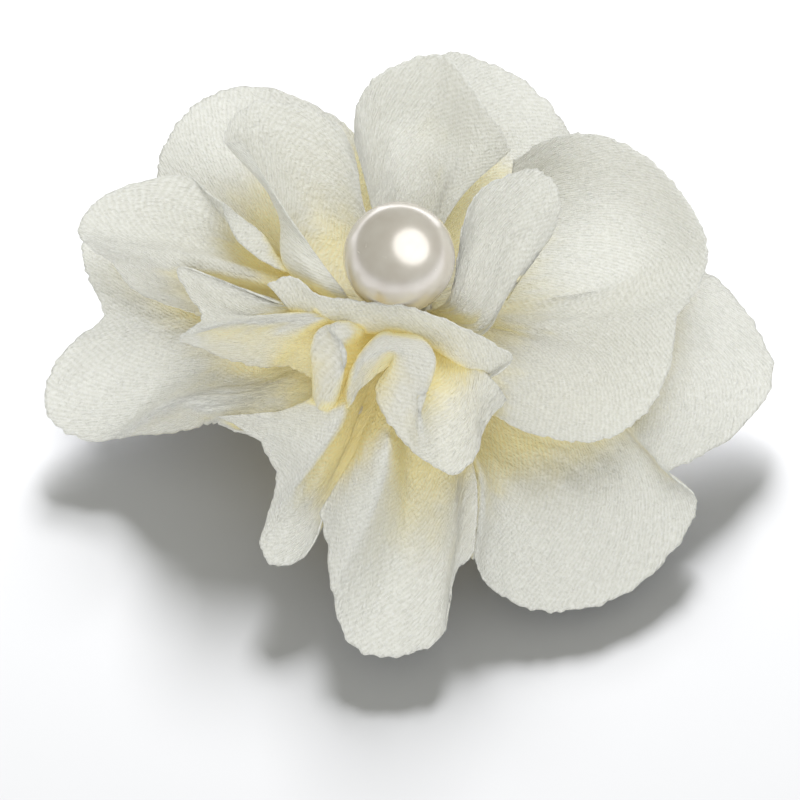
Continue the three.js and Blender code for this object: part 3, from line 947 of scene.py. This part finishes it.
petals = [bpy.data.objects[name + "_cloth"] for name in PETALS]
all_cloth = tree_of(petals)
for petal in petals:
    points = petal.data.vertices
    shelter = shelter_of(petal.data, petal_columns[petal.name] + 1, all_cloth)
    reach = np.array([math.hypot(vert.co.x, vert.co.y) / MM for vert in points])
    central = np.clip((FACE_REACH - reach) / (FACE_REACH - HEART_REACH), 0, 1)
    # This sheltered share places the painted warm shade and painted glow on each petal.
    painted_warmth = petal.data.attributes.new("painted_warmth", "FLOAT", "POINT")
    painted_warmth.data.foreach_set("value", (shelter * (ANYWHERE + CENTRAL * central)).astype(np.float32))
    print(petal.name, "sheltered from", round(float(shelter.mean()), 2), "of the sky")

# %% [markdown]
# ## Pearl
# The bead is turned: a half-round profile with a drilled hole in its foot is spun about the
# stem. The hole is blind, because the stem is glued into it and must not show on top.

# %% Pearl bead
BEAD_STEPS = 96
DRILL_RADIUS = 0.6
DRILL_DEPTH = 5.0
DRILL_LIP = 0.12


def pearl_mesh(name, low, high):
    radius = (high[0] - low[0]) / MM / 2
    centre = high[2] / MM - radius
    mouth = math.asin((DRILL_RADIUS + DRILL_LIP) / radius)
    count = BEAD_STEPS // 2
    angles = [math.pi - mouth - (math.pi - mouth) * at / count for at in range(count + 1)]
    foot = centre - radius
    profile = [(0, foot + DRILL_DEPTH), (DRILL_RADIUS, foot + DRILL_DEPTH)]
    profile += [(DRILL_RADIUS, foot + DRILL_LIP)]
    profile += [(radius * math.sin(a), centre + radius * math.cos(a)) for a in angles]
    bm = bmesh.new()
    verts = [bm.verts.new((x, 0, z)) for x, z in profile]
    edges = [bm.edges.new(pair) for pair in zip(verts, verts[1:])]
    bmesh.ops.spin(
        bm, geom=verts + edges, cent=(0, 0, 0), axis=(0, 0, 1),
        angle=math.tau, steps=BEAD_STEPS, use_merge=True,
    )
    return finished(bm, name)


pearl = show("pearl_bead", pearl_mesh("pearl_bead", *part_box("pearl")), PEARL_COAT)
mounted(pearl, "pearl")
print("pearl", [round(side / MM, 1) for side in pearl.dimensions], "mm")

# %% [markdown]
# ## Backing: felt, buckram and glue
# The petals are sewn through a stiff buckram disc, a felt disc hides the stitches, and hot
# glue holds the felt to the clip. Both discs are turned from a flat profile with a soft edge,
# then roughened a little. The glue is a long pad whose edge swelled as it was pressed.

# %% Discs
DISC_STEPS = 120
DISC_RINGS = 16


def disc_mesh(name, low, high, edge, wobble):
    """A soft disc with a rounded edge; wobble is how far its faces and edge wander, in mm."""
    radius = high[0] / MM
    bottom, top = low[2] / MM, high[2] / MM
    inside = radius - edge - wobble
    reaches = [inside * at / DISC_RINGS for at in range(DISC_RINGS + 1)]
    rim = [(inside + edge * math.cos(a), math.sin(a)) for a in (-0.8, -0.3, 0.3, 0.8)]
    middle, half = (bottom + top) / 2, (top - bottom) / 2
    profile = [(reach, bottom) for reach in reaches]
    profile += [(reach, middle + half * rise) for reach, rise in rim]
    profile += [(reach, top) for reach in reversed(reaches)]
    bm = bmesh.new()
    verts = [bm.verts.new((x, 0, z)) for x, z in profile]
    edges = [bm.edges.new(pair) for pair in zip(verts, verts[1:])]
    bmesh.ops.spin(
        bm, geom=verts + edges, cent=(0, 0, 0), axis=(0, 0, 1),
        angle=math.tau, steps=DISC_STEPS, use_merge=True,
    )
    for vert in bm.verts:
        out = (vert.co.xy.length / radius) ** 2
        side = Vector((vert.co.x, vert.co.y, 0))
        vert.co += side.normalized() * noise.noise(side * 0.9) * wobble * out
        vert.co.z += noise.noise(vert.co * 0.8) * wobble * 0.4
    return finished(bm, name)


felt = show("felt_backing", disc_mesh("felt_backing", *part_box("felt_disc"), 0.5, 0.20), FELT)
mounted(felt, "felt_disc")
base = show("buckram_base", disc_mesh("buckram_base", *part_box("base_disc"), 0.3, 0.08), BUCKRAM)
mounted(base, "base_disc")


# %% Glue
def glue_mesh(name, low, high):
    """A long round-ended pad with a swollen edge."""
    half_width, half_length = high[1] / MM, high[0] / MM
    bottom, top = low[2] / MM, high[2] / MM
    bm = bmesh.new()
    at_bottom = Matrix.Translation((0, 0, bottom))
    bmesh.ops.create_circle(bm, cap_ends=True, segments=72, radius=half_width, matrix=at_bottom)
    for vert in bm.verts:
        vert.co.x += math.copysign(half_length - half_width, vert.co.x)
    top_face = bmesh.ops.extrude_face_region(bm, geom=bm.faces[:])["geom"]
    top_verts = [item for item in top_face if isinstance(item, bmesh.types.BMVert)]
    bmesh.ops.translate(bm, vec=(0, 0, top - bottom), verts=top_verts)
    rims = [edge for edge in bm.edges if abs(edge.verts[0].co.z - edge.verts[1].co.z) < 0.01]
    bmesh.ops.bevel(
        bm, geom=rims, offset=0.25, offset_type="OFFSET", affect="EDGES",
        segments=3, profile=0.5, material=-1,
    )
    for vert in bm.verts:
        side = Vector((vert.co.x, vert.co.y, 0))
        swell = 1 - abs(vert.co.z - (bottom + top) / 2) / (top - bottom) * 2
        vert.co += side.normalized() * (0.25 + noise.noise(side * 0.5) * 0.4) * swell
    return finished(bm, name)


glue = show("glue_pad_squeezed", glue_mesh("glue_pad_squeezed", *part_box("glue_pad")), GLUE)
mounted(glue, "glue_pad")
print("glue", [round(side / MM, 1) for side in glue.dimensions], "mm")

# %% [markdown]
# ## Clip
# The pressed arms, the pin and the stem keep their CAD shapes, and take their metal finishes
# here. The spring is wound again with a rounder wire: a circle is spun round the pin and moved
# along it at each step, and its two ends are drawn out as legs, one sloping up beside the upper
# arm and the other down beside the jaw.

# %% Metal finishes on the clip
CLIP_FINISHES = {
    "upper_arm": NICKEL,
    "lower_jaw": NICKEL,
    "hinge_pin": NICKEL,
    "pearl_stem": STEM_WIRE,
}
for node_name, finish in CLIP_FINISHES.items():
    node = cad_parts[node_name]
    if not node.material_slots:
        node.data.materials.append(finish)
    for material_slot in node.material_slots:
        material_slot.material = finish
print("finished", ", ".join(CLIP_FINISHES))

# %% Torsion spring
WIRE_RADIUS = 0.3
COIL_RADIUS = 1.5
COIL_START = math.radians(72)
COIL_TURNS = 3
COIL_PITCH = 0.9
COIL_STEPS_PER_TURN = 40
LEG = 8.0
LEG_SLOPE = 0.115


def spring_mesh(name, pin):
    """The spring round a pin that lies along Y at the place (x, z)."""
    total = math.tau * COIL_TURNS + 2 * COIL_START
    steps = round(COIL_STEPS_PER_TURN * total / math.tau)
    width = COIL_PITCH * total / math.tau
    bm = bmesh.new()
    section = (
        Matrix.Translation((pin[0], -width / 2, pin[1]))
        @ Matrix.Rotation(-COIL_START, 4, "Y")
        @ Matrix.Translation((COIL_RADIUS, 0, 0))
    )
    made = bmesh.ops.create_circle(bm, segments=14, radius=WIRE_RADIUS, matrix=section)
    first_loop = [edge for edge in bm.edges]
    spun = bmesh.ops.spin(
        bm, geom=made["verts"] + first_loop, cent=(pin[0], 0, pin[1]), axis=(0, 1, 0),
        dvec=(0, width / steps, 0), angle=total, steps=steps, use_merge=False,
    )["geom_last"]
    last_loop = [item for item in spun if isinstance(item, bmesh.types.BMEdge)]
    for loop, upward in ((first_loop, 1), (last_loop, -1)):
        for reach in (0.6, LEG - 0.6):
            extruded = bmesh.ops.extrude_edge_only(bm, edges=loop)["geom"]
            loop = [item for item in extruded if isinstance(item, bmesh.types.BMEdge)]
            moved = [item for item in extruded if isinstance(item, bmesh.types.BMVert)]
            bmesh.ops.translate(bm, vec=(-reach, 0, upward * reach * LEG_SLOPE), verts=moved)
    close_ends(bm)
    return finished(bm, name)


pin_low, pin_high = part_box("hinge_pin")
pin_place = ((pin_low[0] + pin_high[0]) / 2 / MM, (pin_low[2] + pin_high[2]) / 2 / MM)
spring = show("torsion_spring_wire", spring_mesh("torsion_spring_wire", pin_place), SPRING_STEEL)
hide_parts("torsion_spring")
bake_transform(spring)
print("spring", [round(side / MM, 1) for side in spring.dimensions], "mm")

# %% Floor
floor_mesh = bpy.data.meshes.new("table_top")
floor_bm = bmesh.new()
bmesh.ops.create_grid(floor_bm, x_segments=1, y_segments=1, size=3)
floor_bm.to_mesh(floor_mesh)
floor_bm.free()
table_pale, _, table_shader = principled("table_pale", Roughness=0.9)
table_shader.inputs["Base Color"].default_value = (0.69, 0.705, 0.78, 1)
table = show("table_top", floor_mesh, table_pale)
print("table top of", [round(side, 1) for side in table.dimensions[:2]], "m")

# %% [markdown]
# ### Which panel lights what
# The table and the pearl each have a panel to themselves, and the other two panels leave both
# out. So the shadow on the table is not drawn by the light that falls on the petals.


# %% Light groups
def lit_by(panel, pieces, state):
    """The panel lights only these pieces (INCLUDE), or everything but them (EXCLUDE)."""
    group = bpy.data.collections.new(panel.name + "_light_group")
    for piece in pieces:
        group.objects.link(piece)
    for linked in group.collection_objects:
        linked.light_linking.link_state = state
    panel.light_linking.receiver_collection = group


lit_by(shadow_panel, [table], "INCLUDE")
lit_by(pearl_panel, [pearl], "INCLUDE")
lit_by(over_panel, [table, pearl], "EXCLUDE")
lit_by(front_panel, [table, pearl], "EXCLUDE")
print("light groups:", [group.name for group in bpy.data.collections if "_light" in group.name])
